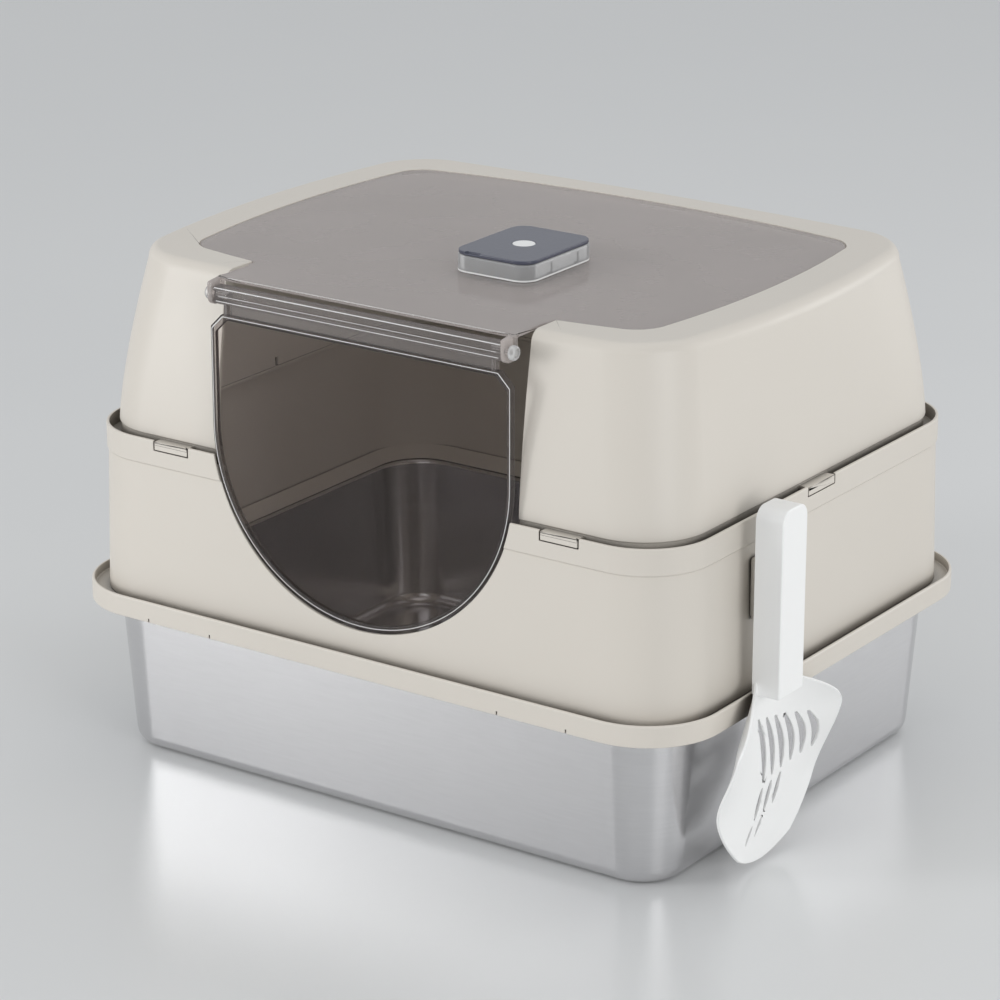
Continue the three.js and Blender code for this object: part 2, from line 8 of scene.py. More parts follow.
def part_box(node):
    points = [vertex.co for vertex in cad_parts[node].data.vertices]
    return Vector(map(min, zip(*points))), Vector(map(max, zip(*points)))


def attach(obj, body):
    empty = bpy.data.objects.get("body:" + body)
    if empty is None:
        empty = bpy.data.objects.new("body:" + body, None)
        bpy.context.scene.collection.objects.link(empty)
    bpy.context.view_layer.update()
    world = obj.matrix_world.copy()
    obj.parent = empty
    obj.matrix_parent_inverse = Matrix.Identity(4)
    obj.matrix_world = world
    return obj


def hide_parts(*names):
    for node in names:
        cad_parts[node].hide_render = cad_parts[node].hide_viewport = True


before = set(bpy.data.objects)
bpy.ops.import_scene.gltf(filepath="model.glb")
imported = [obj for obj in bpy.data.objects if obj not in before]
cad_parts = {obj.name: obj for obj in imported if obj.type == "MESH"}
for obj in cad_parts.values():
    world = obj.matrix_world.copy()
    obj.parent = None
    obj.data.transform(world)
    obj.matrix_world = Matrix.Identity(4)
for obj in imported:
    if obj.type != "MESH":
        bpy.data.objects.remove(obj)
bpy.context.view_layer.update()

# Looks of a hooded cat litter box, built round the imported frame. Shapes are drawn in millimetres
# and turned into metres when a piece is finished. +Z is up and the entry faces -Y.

MM = 0.001
SHARP = math.radians(32)


def corners(node):
    """The lowest and highest corners of a CAD node, in millimetres."""
    low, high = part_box(node)
    return low / MM, high / MM


PAN_HIGH = corners("steel_pan")[1]
RING_LOW, RING_HIGH = corners("rim_ring")
FENCE_LOW, FENCE_HIGH = corners("splash_fence")
HOOD_LOW, HOOD_HIGH = corners("hood_shell")
PANEL_HIGH = corners("top_panel")[1]
CASE_LOW, CASE_HIGH = corners("deodorizer_case")
BAG_LOW, BAG_HIGH = corners("charcoal_pack")
LID_LOW, LID_HIGH = corners("deodorizer_lid")
DISC_LOW, DISC_HIGH = corners("scent_pad")
HOOK_LOW, HOOK_HIGH = corners("scoop_hook")
SCOOP_LOW, SCOOP_HIGH = corners("litter_scoop")

GAP = 0.3  # clearance between touching pieces
RING_CORNER = 54.6
FENCE_CORNER = 49.3
PAN_MOUTH = (231.5, 182.5, 40.0)
HOOD_FOOT = 236.1
HOOD = (231.5, 182.3, 46.8)  # half sizes and corner radius at the hood's foot
HOOD_LEAN = (4.1, 10.1, 5.4)  # what they lose by the top
HOOD_BOW = (0.08, 0.05)
LEAN_POWER = 1.39
HOOD_ROUND = 9.0
DOOR_HALF = 121.5
DOOR_CENTRE_Z = 258.0
TONGUE_HALF = 118.0
HINGE_Y = -186.0
HINGE_Z = 346.3
CLIPS_FRONT = (142.0, 171.0)
CLIPS_SIDE = (-21.0, 13.0)
CLIP_BOTTOM = 228.8
ARC_STEPS = 64  # steps round the lower half of the door
TONGUE_EDGES = (117.5, 170.5)  # where the collar is slit on each side of a snap tongue
TONGUE_WINDOW = (125, 163)
TONGUE_BARB = (122, 166)
FENCE_LEDGE = 225.6


# ------------------------------------------------------------------ outlines

def rounded(points, steps=5, closed=True):
    """An outline whose corners [x, y, radius] are turned into arcs."""
    result = []
    for i, point in enumerate(points):
        here = Vector(point[:2])
        radius = point[2] if len(point) > 2 else 0
        if radius == 0 or (not closed and i in (0, len(points) - 1)):
            result.append(here)
            continue
        before = (Vector(points[i - 1][:2]) - here).normalized()
        after = (Vector(points[(i + 1) % len(points)][:2]) - here).normalized()
        half = before.angle(after) / 2
        centre = here + (before + after).normalized() * radius / math.sin(half)
        first = here + before * radius / math.tan(half) - centre
        last = here + after * radius / math.tan(half) - centre
        turn = math.atan2(first.cross(last), first.dot(last))
        for step in range(steps + 1):
            result.append(centre + Matrix.Rotation(turn * step / steps, 2) @ first)
    return result


def rectangle(low, high, radius, steps=6):
    return rounded([
        (low[0], low[1], radius), (high[0], low[1], radius),
        (high[0], high[1], radius), (low[0], high[1], radius),
    ], steps)


# ------------------------------------------------------------------ solids

def carried(outline, profile, side_steps=1, corner_steps=14, closed=True):
    """Carries a wall's profile of [depth, height] points round a rounded rectangle."""
    half_x, half_y, corner = outline
    run_x = half_x - corner
    run_y = half_y - corner
    bm = bmesh.new()
    line = [bm.verts.new((half_x - depth, run_y, height)) for depth, height in profile]
    ends = line[1:] + line[:1] if closed else line[1:]
    front = line + [bm.edges.new(pair) for pair in zip(line, ends)]
    stretches = [
        ((run_x, run_y), (-2 * run_x, 0)), ((-run_x, run_y), (0, -2 * run_y)),
        ((-run_x, -run_y), (2 * run_x, 0)), ((run_x, -run_y), (0, 2 * run_y)),
    ]
    for centre, run in stretches:
        turned = bmesh.ops.spin(
            bm, geom=front, cent=(*centre, 0), axis=(0, 0, 1), angle=math.pi / 2, steps=corner_steps)
        front = turned["geom_last"]
        for _ in range(side_steps):
            edges = [item for item in front if isinstance(item, bmesh.types.BMEdge)]
            grown = bmesh.ops.extrude_edge_only(bm, edges=edges)["geom"]
            front = [item for item in grown if not isinstance(item, bmesh.types.BMFace)]
            moved = [item for item in front if isinstance(item, bmesh.types.BMVert)]
            bmesh.ops.translate(bm, verts=moved, vec=(run[0] / side_steps, run[1] / side_steps, 0))
    bmesh.ops.remove_doubles(bm, verts=bm.verts, dist=0.005)
    if not closed:
        bmesh.ops.holes_fill(bm, edges=[edge for edge in bm.edges if edge.is_boundary])
    bmesh.ops.recalc_face_normals(bm, faces=bm.faces)
    return bm


FACING = {
    "z": Matrix(((1, 0, 0, 0), (0, 1, 0, 0), (0, 0, 1, 0), (0, 0, 0, 1))),
    "y": Matrix(((1, 0, 0, 0), (0, 0, 1, 0), (0, 1, 0, 0), (0, 0, 0, 1))),
    "x": Matrix(((0, 0, 1, 0), (1, 0, 0, 0), (0, 1, 0, 0), (0, 0, 0, 1))),
}


def slab(points, low, high, facing="z"):
    """A slab with the given outline between two places on the axis that it faces."""
    bm = bmesh.new()
    face = bm.faces.new([bm.verts.new((x, y, low)) for x, y in points])
    grown = bmesh.ops.extrude_face_region(bm, geom=[face])["geom"]
    moved = [item for item in grown if isinstance(item, bmesh.types.BMVert)]
    bmesh.ops.translate(bm, verts=moved, vec=(0, 0, high - low))
    bmesh.ops.transform(bm, matrix=FACING[facing], verts=bm.verts)
    bmesh.ops.recalc_face_normals(bm, faces=bm.faces)
    return bm


def brick(low, high):
    outline = [(low[0], low[1]), (high[0], low[1]), (high[0], high[1]), (low[0], high[1])]
    return slab(outline, low[2], high[2])


def turned(profile, centre, axis="z", steps=40):
    """A round piece: a profile of [radius, place along the axis] turned full circle."""
    bm = bmesh.new()
    line = [bm.verts.new((radius, 0, place)) for radius, place in profile]
    edges = [bm.edges.new(pair) for pair in zip(line, line[1:])]
    bmesh.ops.spin(
        bm, geom=line + edges, cent=(0, 0, 0), axis=(0, 0, 1), angle=2 * math.pi, steps=steps, use_merge=True)
    bmesh.ops.remove_doubles(bm, verts=bm.verts, dist=0.002)
    bmesh.ops.transform(bm, matrix=FACING[axis], verts=bm.verts)
    bmesh.ops.translate(bm, verts=bm.verts, vec=centre)
    bmesh.ops.recalc_face_normals(bm, faces=bm.faces)
    return bm


def soften(bm, width, segments=2, angle=SHARP, choose=None):
    """Rounds the sharp edges of a solid."""
    edges = [
        edge for edge in bm.edges
        if edge.is_manifold and edge.calc_face_angle() > angle and (choose is None or choose(edge))
    ]
    bmesh.ops.bevel(
        bm, geom=edges, offset=width, offset_type="OFFSET", segments=segments, profile=0.5,
        affect="EDGES", clamp_overlap=True, material=-1)
    return bm


def loose(bm):
    """Puts a solid in an object of its own, for a Boolean."""
    mesh = bpy.data.meshes.new("blank")
    bm.to_mesh(mesh)
    bm.free()
    blank = bpy.data.objects.new("blank", mesh)
    bpy.context.scene.collection.objects.link(blank)
    return blank


def combined(bm, other, operation):
    """One solid joined with, or cut by, another."""
    body = loose(bm)
    tool = loose(other)
    step = body.modifiers.new("combine", "BOOLEAN")
    step.operation = operation
    step.solver = "EXACT"
    step.object = tool
    view = bpy.context.evaluated_depsgraph_get()
    result = bmesh.new()
    result.from_mesh(body.evaluated_get(view).to_mesh())
    for blank in (body, tool):
        mesh = blank.data
        bpy.data.objects.remove(blank)
        bpy.data.meshes.remove(mesh)
    return result


def cut(bm, *tools):
    for tool in tools:
        bm = combined(bm, tool, "DIFFERENCE")
    return bm


def joined(bm, *others):
    for other in others:
        bm = combined(bm, other, "UNION")
    return bm


# ------------------------------------------------------------------ finished pieces

def finish_piece(name, bm, body, material, nodes=(), bevel=0.0):
    """Scales a solid to metres and makes it a piece that rides on a body."""
    bmesh.ops.scale(bm, verts=bm.verts, vec=(MM, MM, MM))
    mesh = bpy.data.meshes.new(name)
    bm.to_mesh(mesh)
    bm.free()
    for polygon in mesh.polygons:
        polygon.use_smooth = True
    mesh.set_sharp_from_angle(angle=SHARP)
    mesh.materials.append(material)
    piece = bpy.data.objects.new(name, mesh)
    bpy.context.scene.collection.objects.link(piece)
    if bevel:
        edge = piece.modifiers.new("soft_edges", "BEVEL")
        edge.width = bevel * MM
        edge.segments = 2
        edge.limit_method = "ANGLE"
        edge.angle_limit = SHARP
        edge.harden_normals = True
        edge.use_clamp_overlap = False
    even = piece.modifiers.new("even_normals", "WEIGHTED_NORMAL")
    even.keep_sharp = True
    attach(piece, body)
    if nodes:
        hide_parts(*nodes)
    # Light passes the two clear covers, so they cast no shadow.
    piece.visible_shadow = material not in (SMOKE_ROOF, SMOKE_FLAP)
    return piece


# ------------------------------------------------------------------ shader maths

class Number:
    """A socket of a material that can be used in sums."""

    def __init__(self, paint, socket):
        self.paint = paint
        self.socket = socket

    def sum_with(self, operation, *values):
        inputs = dict(enumerate(values))
        return self.paint.number("ShaderNodeMath", "Value", inputs, operation=operation)

    def __add__(self, other):
        return self.sum_with("ADD", self, other)

    __radd__ = __add__

    def __sub__(self, other):
        return self.sum_with("SUBTRACT", self, other)

    def __rsub__(self, other):
        return self.sum_with("SUBTRACT", other, self)

    def __mul__(self, other):
        return self.sum_with("MULTIPLY", self, other)

    __rmul__ = __mul__

    def __pow__(self, other):
        return self.sum_with("POWER", self, other)

    def clamped(self):
        return self.paint.number(
            "ShaderNodeClamp", "Result", {"Value": self, "Min": 0.0, "Max": 1.0})


class Paint:
    """One material and its nodes."""

    def __init__(self, name):
        self.material = bpy.data.materials.new(name)
        self.material.use_nodes = True
        self.tree = self.material.node_tree
        self.tree.nodes.clear()
        self.place = self.node("ShaderNodeTexCoord").outputs["Object"]

    def node(self, kind, inputs=None, stops=None, **settings):
        made = self.tree.nodes.new(kind)
        for key, value in settings.items():
            setattr(made, key, value)
        if stops:
            ramp = made.color_ramp.elements
            while len(ramp) < len(stops):
                ramp.new(1.0)
            for element, (position, colour) in zip(ramp, stops):
                element.position = position
                element.color = (*colour, 1.0)
        for key, value in (inputs or {}).items():
            socket = made.inputs[key]
            if isinstance(value, Number):
                self.tree.links.new(value.socket, socket)
            elif isinstance(value, bpy.types.NodeSocket):
                self.tree.links.new(value, socket)
            else:
                socket.default_value = value
        return made

    def number(self, kind, output, inputs=None, **settings):
        return Number(self, self.node(kind, inputs, **settings).outputs[output])

    def noise(self, scale, detail=3.0, stretch=(1, 1, 1)):
        place = self.place
        if stretch != (1, 1, 1):
            place = self.node("ShaderNodeMapping", {"Vector": place, "Scale": stretch}).outputs["Vector"]
        inputs = {"Vector": place, "Scale": scale, "Detail": detail}
        return self.number("ShaderNodeTexNoise", "Fac", inputs)

    def blend(self, factor, first, second):
        made = self.node("ShaderNodeMix", data_type="RGBA", blend_type="MIX")
        factor_in, first_in, second_in = made.inputs[0], made.inputs[6], made.inputs[7]
        self.tree.links.new(factor.socket, factor_in)
        for socket, colour in ((first_in, first), (second_in, second)):
            if isinstance(colour, bpy.types.NodeSocket):
                self.tree.links.new(colour, socket)
            else:
                socket.default_value = (*colour, 1.0)
        return made.outputs[2]

    def bump(self, height, depth, strength=1.0):
        inputs = {"Height": height, "Distance": depth, "Strength": strength}
        return self.node("ShaderNodeBump", inputs).outputs["Normal"]

    def principled(self, **sockets):
        names = {key.replace("_", " ").title(): value for key, value in sockets.items()}
        if "Ior" in names:
            names["IOR"] = names.pop("Ior")
        return self.node("ShaderNodeBsdfPrincipled", names).outputs["BSDF"]

    def output(self, shader):
        self.node("ShaderNodeOutputMaterial", {"Surface": shader})
        return self.material


# ------------------------------------------------------------------ finishes

def moulded(name, colour, roughness, shift=0.05, grain=0.00002, painted_shade_colour=None):
    """Satin moulded plastic: slow changes of colour, fine grain and faint handling marks.
    painted_shade_colour is the colour of painted shade in its grooves and gaps, laid in where ambient
    occlusion finds nearby surfaces."""
    paint = Paint(name)
    slow = paint.noise(5.0, 2.0)
    grainy = paint.noise(1400.0, 2.0)
    marks = paint.noise(60.0, 4.0, (1, 1, 0.25))
    darker = tuple(channel * (1 - shift) for channel in colour)
    lighter = tuple(min(channel * (1 + shift), 1.0) for channel in colour)
    tone = paint.blend((slow * 0.8 + grainy * 0.2).clamped(), darker, lighter)
    # Painted shade: the base colour darkens towards painted_shade_colour wherever ambient occlusion finds
    # surfaces close by.
    if painted_shade_colour:
        open_air = paint.number("ShaderNodeAmbientOcclusion", "AO", {"Distance": 0.011}, samples=6)
        tone = paint.blend((open_air * 1.55 - 0.12).clamped() ** 1.5, painted_shade_colour, tone)
    return paint.output(paint.principled(
        base_color=tone,
        roughness=(roughness - 0.05 + marks * 0.1).clamped(),
        normal=paint.bump(grainy + marks * 0.6, grain),
        ior=1.49,
    ))


def polished_steel():
    """Drawn sheet steel: fine streaks round the walls, cloudy roughness."""
    paint = Paint("polished steel")
    streaks = paint.noise(40.0, 5.0, (1, 1, 14))
    cloud = paint.noise(9.0, 3.0)
    tone = paint.blend(streaks, (0.64, 0.635, 0.645), (0.72, 0.715, 0.725))
    return paint.output(paint.principled(
        base_color=tone,
        metallic=1.0,
        roughness=(0.15 + cloud * 0.06 + streaks * 0.05).clamped(),
        normal=paint.bump(streaks, 0.000012),
    ))


def see_through(name, tint, body, veil, roughness=0.06, edge_ior=1.3):
    """Clear or smoky plastic: tinted light passes, and the rest is gloss over a faint body."""
    paint = Paint(name)
    haze = paint.noise(14.0, 3.0)
    scuffs = paint.noise(260.0, 4.0, (1, 1, 0.3))
    tone = paint.blend(haze, tuple(channel * 0.92 for channel in body), body)
    gloss = paint.principled(
        base_color=tone,
        roughness=(roughness + scuffs * 0.05).clamped(),
        normal=paint.bump(haze + scuffs * 0.2, 0.00004),
        ior=1.5,
    )
    passing = paint.node("ShaderNodeBsdfTransparent", {"Color": (*tint, 1.0)}).outputs["BSDF"]
    edge = paint.number("ShaderNodeFresnel", "Fac", {"IOR": edge_ior})
    share = (veil + haze * 0.03 + edge * (1 - veil)).clamped()
    mixed = paint.node("ShaderNodeMixShader", {0: share, 1: passing, 2: gloss})
    return paint.output(mixed.outputs["Shader"])


def felt(name, colour):
    """Carbon felt: short matted fibres."""
    paint = Paint(name)
    fibres = paint.noise(2200.0, 6.0)
    clumps = paint.noise(240.0, 3.0)
    tone = paint.blend(fibres, colour, tuple(channel * 2.4 for channel in colour))
    return paint.output(paint.principled(
        base_color=tone, roughness=(0.85 + clumps * 0.1).clamped(),
        normal=paint.bump(fibres + clumps, 0.0004)))


# Beige plastic, with painted shade darkening its grooves and gaps.
BEIGE = moulded("beige plastic", (0.70, 0.655, 0.59), 0.42, painted_shade_colour=(0.06, 0.045, 0.03))
STEEL = polished_steel()
SMOKE_ROOF = see_through("smoky roof plastic", (0.92, 0.89, 0.88), (0.62, 0.58, 0.56), 0.27, 0.1, 1.5)
SMOKE_FLAP = see_through("smoky flap plastic", (0.97, 0.95, 0.94), (0.18, 0.155, 0.145), 0.02)
SMOKE_BAR = see_through("smoky bar plastic", (0.86, 0.84, 0.83), (0.50, 0.47, 0.46), 0.16, 0.08, 1.4)
SMOKE_RIM = see_through("smoky rim plastic", (0.74, 0.71, 0.70), (0.34, 0.32, 0.31), 0.08, 0.08, 1.4)
# Painted highlight: a near-white, mostly opaque finish for fine beads that stand in for glints along edges.
EDGE_HIGHLIGHT = see_through("painted edge highlight", (0.95, 0.95, 0.95), (0.93, 0.92, 0.91), 0.75, 0.1, 1.45)
CLEAR = see_through("clear plastic", (0.95, 0.95, 0.95), (0.85, 0.85, 0.85), 0.28)
SLATE = moulded("slate plastic", (0.085, 0.09, 0.125), 0.2, 0.12, 0.00001)
WHITE = moulded("white plastic", (0.92, 0.92, 0.91), 0.34, 0.02, 0.00001)
CHARCOAL = felt("charcoal felt", (0.012, 0.012, 0.013))


# ------------------------------------------------------------------ steel pan

def make_tub():
    top = PAN_HIGH.z
    edge = PAN_MOUTH[0] - PAN_HIGH.x
    lean = 8.0
    profile = rounded([
        (37, 0), (lean + 0.6, 0, 11), (0, top - 1, 3), (edge + 1, top - 1), (edge + 1, top - 3.4),
        (edge, top - 3.4), (edge, top, 0.9), (1, top, 4), (lean + 1.6, 1, 10), (37, 1),
    ], 6, closed=False)
    finish_piece("steel_tub", carried(PAN_MOUTH, profile, 1, 20, closed=False),
                 "pan", STEEL, ["steel_pan"])


# ------------------------------------------------------------------ rim ring

def mirrored(place, side):
    """Two places on an axis, mirrored to a side and put in rising order."""
    return sorted(side * value for value in place)


def make_collar():
    outline = (RING_HIGH.x, RING_HIGH.y, RING_CORNER)
    inset = RING_HIGH.x - 239.8  # from the ring's face to the fence's
    web_top = 116.5
    web_low = 114.5
    bottom = RING_LOW.z
    lip = 122.9
    upstand = RING_HIGH.z
    profile = rounded([
        (1.8, web_low), (1.8, bottom, 0.4), (0, bottom, 0.8), (0, lip, 1.3), (1.9, lip, 0.5),
        (2.1, web_top, 0.9), (inset + 2.8, web_top, 0.4), (inset + 2.8, upstand, 0.3),
        (inset + 4.4, upstand, 0.4), (inset + 9.3, web_top - 0.8), (inset + 9.3, web_low),
    ], 4)
    collar = carried(outline, profile, 1, 16)
    for face in (-1, 1):
        for side in (-1, 1):
            for edge in TONGUE_EDGES:
                x = mirrored((edge - 0.6, edge + 0.6), side)
                y = mirrored((RING_HIGH.y + 1, RING_HIGH.y - 2.3), face)
                collar = cut(collar, brick((x[0], y[0], bottom - 1), (x[1], y[1], bottom + 3)))
            x = mirrored(TONGUE_WINDOW, side)
            y = mirrored((RING_HIGH.y - 3.4, RING_HIGH.y - 7.6), face)
            collar = cut(collar, brick((x[0], y[0], web_low - 1), (x[1], y[1], web_top + 1)))
            x = mirrored(TONGUE_BARB, side)
            y = mirrored((RING_HIGH.y - 1.5, PAN_HIGH.y + GAP), face)
            collar = joined(collar, brick((x[0], y[0], bottom + 0.2), (x[1], y[1], bottom + 2)))
    finish_piece("rim_collar", collar, "ring", BEIGE, ["rim_ring"])


# ------------------------------------------------------------------ splash fence

def door_outline(grow, top):
    arc = [
        Vector((0, DOOR_CENTRE_Z)) + Matrix.Rotation(math.pi + math.pi * step / ARC_STEPS, 2)
        @ Vector((DOOR_HALF + grow, 0)) for step in range(ARC_STEPS + 1)
    ]
    return [Vector((-DOOR_HALF - grow, top)), *arc, Vector((DOOR_HALF + grow, top))]


def clip_places(outside, inside):
    """Lowest and highest X and Y of each snap clip, between two depths behind the fence's face."""
    for side in (-1, 1):
        for face in (-1, 1):
            x = mirrored(CLIPS_FRONT, side)
            y = mirrored((FENCE_HIGH.y - outside, FENCE_HIGH.y - inside), face)
            yield "x", x, y
        x = mirrored((FENCE_HIGH.x - outside, FENCE_HIGH.x - inside), side)
        yield "y", x, list(CLIPS_SIDE)


def clip_block(place, slack, low, high, round_foot=0.0):
    along, x, y = place
    if along == "x":
        outline = rectangle((x[0] + slack, low), (x[1] - slack, high), round_foot or 0.2, 4)
        return slab(outline, y[0], y[1], "y")
    outline = rectangle((y[0] + slack, low), (y[1] - slack, high), round_foot or 0.2, 4)
    return slab(outline, x[0], x[1], "x")


def make_fence():
    outline = (FENCE_HIGH.x, FENCE_HIGH.y, FENCE_CORNER)
    top = FENCE_HIGH.z
    foot = FENCE_LOW.z
    band = top - 17.4
    profile = rounded([
        (2.4, foot, 0.4), (0, foot, 0.4), (2.6, band - 1.2, 0.6), (1.5, band, 0.6), (1.5, top, 0.9),
        (3.5, top, 0.4), (3.5, FENCE_LEDGE, 0.3), (11.6, FENCE_LEDGE, 0.4), (11.6, FENCE_LEDGE - 2, 0.4),
        (5, FENCE_LEDGE - 5, 3),
    ], 4)
    fence = carried(outline, profile, 1, 16)
    fence = cut(fence, slab(door_outline(0, 300), -FENCE_HIGH.y - 20, -FENCE_HIGH.y + 40, "y"))
    for place in clip_places(0.5, 4.1):
        fence = cut(fence, clip_block(place, -0.5, CLIP_BOTTOM - 0.7, top + 1, 0.8))
    finish_piece("fence_wall", fence, "fence", BEIGE, ["splash_fence"], 0.35)


# ------------------------------------------------------------------ hood

def lean_share(height):
    part = (height - HOOD_FOOT) / (HOOD_HIGH.z - HOOD_ROUND - HOOD_FOOT)
    return min(max(part, 0.0), 1.0) ** LEAN_POWER


def lean_hood(bm):
    """Leans the straight shell in towards the top, and bows its sides out between the corners."""
    run = (HOOD[0] - HOOD[2], HOOD[1] - HOOD[2])
    for vert in bm.verts:
        share = lean_share(vert.co.z)
        size = [HOOD[i] - HOOD_LEAN[i] * share for i in range(3)]
        core = Vector([min(max(vert.co[i], -run[i]), run[i]) for i in range(2)])
        offset = vert.co.xy - core
        if offset.length > 1e-6:
            offset *= max(offset.length - HOOD_LEAN[2] * share, 0.01) / offset.length
        place = Vector([core[i] * (size[i] - size[2]) / run[i] + offset[i] for i in range(2)])
        vert.co.x = place.x * (1 - HOOD_BOW[0] * share * (place.y / size[1]) ** 2)
        vert.co.y = place.y * (1 - HOOD_BOW[1] * share * (place.x / size[0]) ** 2)


PANEL = {"x": 193.0, "rear": 143.0, "front": 147.5, "corner": 18.0}
PANEL_BOW = (0.0925, 0.17)


def panel_outline(grow, nose, inner_round):
    """The roof window's T outline; grow moves it outward, and its sides bow as the hood's do."""
    x = PANEL["x"] + grow
    rear = PANEL["rear"] + grow
    front = PANEL["front"] + grow
    neck = TONGUE_HALF + grow
    corner = PANEL["corner"]
    plain = rounded([
        (x, rear, corner), (-x, rear, corner), (-x, -front, corner), (-neck, -front, inner_round),
        (-neck, -nose), (neck, -nose), (neck, -front, inner_round), (x, -front, corner),
    ], 8)
    finer = []
    for here, after in zip(plain, plain[1:] + plain[:1]):
        steps = max(1, round((after - here).length / 24))
        finer += [here.lerp(after, step / steps) for step in range(steps)]
    result = []
    for point in finer:
        on_tongue = abs(point.x) <= neck + 0.1
        outside = max(abs(point.x) - neck, 0) / (PANEL["x"] - TONGUE_HALF)
        pull = PANEL_BOW[0] * PANEL["x"] * outside * (point.y / HOOD[1]) ** 2
        across = neck if on_tongue and point.y < 0 else point.x
        y = point.y
        if y > -front - 0.1:
            y *= 1 - PANEL_BOW[1] * (across / HOOD[0]) ** 2
        result.append(Vector((point.x - math.copysign(pull, point.x), y)))
    return result


def make_hood():
    top = HOOD_HIGH.z
    crown = top - HOOD_ROUND
    foot = HOOD_FOOT
    plug = HOOD_LOW.z
    levels = [foot + (crown - foot) * step / 10 for step in range(1, 10)]
    outer = [(0, level) for level in levels]
    inner = [(2.6, level) for level in reversed(levels)]
    profile = rounded([
        (40, top), (0, top, HOOD_ROUND), *reversed(outer), (0, foot, 0.7), (1.2, foot, 0.3),
        (1.2, plug, 0.3), (3.4, plug, 0.3), (3.4, 238), (2.6, 240), *reversed(inner),
        (12, top - 6, 4), (40, top - 6),
    ], 7, closed=False)
    hood = carried(HOOD, profile, 10, 16, closed=False)
    lean_hood(hood)
    seat = PANEL_HIGH.z - 2.5 - GAP
    hood = cut(
        hood,
        slab(panel_outline(0.6, 215, 3.6), seat, top + 5),
        slab(panel_outline(-8, 215, 6), top - 30, top + 5),
        brick((-DOOR_HALF, -220, plug - 5), (DOOR_HALF, -138, top + 5)),
    )
    for side in (-1, 1):
        x = mirrored((HOOD[0] + 4, HOOD[0] - 12), side)
        hood = cut(hood, brick((x[0], 15.5, plug - 1), (x[1], 19, plug + 6.5)))
    clip_top = FENCE_HIGH.z - 0.6
    for place in clip_places(1.5, 10.2):
        hood = joined(hood, clip_block(place, 0.5, FENCE_HIGH.z - 3, clip_top))
    for place in clip_places(1.5, 3.6):
        hood = joined(hood, clip_block(place, 0.5, CLIP_BOTTOM, clip_top, 0.6))
    finish_piece("hood_cover", hood, "hood", BEIGE, ["hood_shell"], 0.4)


# ------------------------------------------------------------------ roof window

CHEEK = {"x": 114.6, "thick": 3.6, "front": -192.5, "rear": -178.5, "bottom": 339.6}
BAR_HALF = 114.2


def make_roof_window():
    top = PANEL_HIGH.z
    window = slab(panel_outline(0, 181, 3), top - 2.5, top)
    for side in (-1, 1):
        x = mirrored((CHEEK["x"], CHEEK["x"] + CHEEK["thick"]), side)
        outline = rounded([
            (CHEEK["front"], top - 1.2, 1.5), (CHEEK["front"], CHEEK["bottom"], 5),
            (CHEEK["rear"], CHEEK["bottom"], 3), (CHEEK["rear"], top - 0.05),
            (CHEEK["rear"] - 4, top - 0.05, 2),
        ], 5)
        window = joined(window, slab(outline, *x, "x"))
        centre = (x[0] - 1, HINGE_Y, HINGE_Z)
        hole = turned([(0, 0), (2.35, 0), (2.35, CHEEK["thick"] + 2), (0, CHEEK["thick"] + 2)], centre, "x")
        window = cut(window, hole)
    finish_piece("roof_window", window, "top", SMOKE_ROOF, ["top_panel"], 0.35)
    # Painted highlight: a fine near-white bead along the tongue's front edge stands in for its glint.
    nose = bead(TONGUE_HALF - 0.6, -180.7, top - 0.4, 0.32)
    finish_piece("tongue_edge_highlight", nose, "top", EDGE_HIGHLIGHT, ["top_panel"])


def make_pins():
    head = CHEEK["x"] + CHEEK["thick"] + GAP
    shank = BAR_HALF - 9
    for name, node, side in (("left_pin", "hinge_pin_left", -1), ("right_pin", "hinge_pin_right", 1)):
        profile = rounded([
            (0, shank), (2.2, shank, 0.6), (2.2, head), (4.8, head, 0.4), (4.8, head + 4.2, 1.6),
            (3, head + 4.2), (2.2, head + 3.2), (0, head + 3.2),
        ], 5, closed=False)
        pin = turned([(radius, side * place) for radius, place in profile], (0, HINGE_Y, HINGE_Z), "x")
        finish_piece(name, pin, "top", CLEAR, [node])


# ------------------------------------------------------------------ entry flap

FLAP_TOP = 333.0
FLAP_HALF = 120.0


def flap_outline(inset):
    half = FLAP_HALF - inset
    top = FLAP_TOP - inset
    arc = [
        Vector((0, DOOR_CENTRE_Z)) + Matrix.Rotation(math.pi * (1 + step / ARC_STEPS), 2)
        @ Vector((half, 0)) for step in range(ARC_STEPS + 1)
    ]
    shoulder = rounded([
        (half, DOOR_CENTRE_Z), (half, top - 9, 2), (half - 9, top, 2), (-half + 9, top, 2),
        (-half, top - 9, 2), (-half, DOOR_CENTRE_Z),
    ], 4, closed=False)
    return arc + shoulder[1:-1]


def make_flap():
    front = HINGE_Y - 1.25
    rear = HINGE_Y + 1.25
    proud = 0.9
    rim = cut(
        slab(flap_outline(0), front - proud, rear + proud, "y"),
        slab(flap_outline(3.6), front - 5, rear + 5, "y"))
    soften(rim, 0.8, 3)
    finish_piece("flap_rim", rim, "flap", SMOKE_RIM, ["entry_flap"])
    window = slab(flap_outline(3.4), front, rear, "y")
    finish_piece("flap_window", window, "flap", SMOKE_FLAP, ["entry_flap"])
    # Painted highlight: a thin near-white strip just inside the flap's outline stands in for the glint on its
    # front edge.
    line = cut(
        slab(flap_outline(1.0), front - proud - 0.12, front - proud + 0.1, "y"),
        slab(flap_outline(1.5), front - 5, rear + 5, "y"))
    finish_piece("flap_edge_highlight", line, "flap", EDGE_HIGHLIGHT, ["entry_flap"])


def bead(half, y, z, radius):
    """A fine round bead along X."""
    profile = rounded([
        (0, -half), (radius, -half, radius / 2), (radius, half, radius / 2), (0, half),
    ], 3, False)
    return turned(profile, (0, y, z), "x", 12)


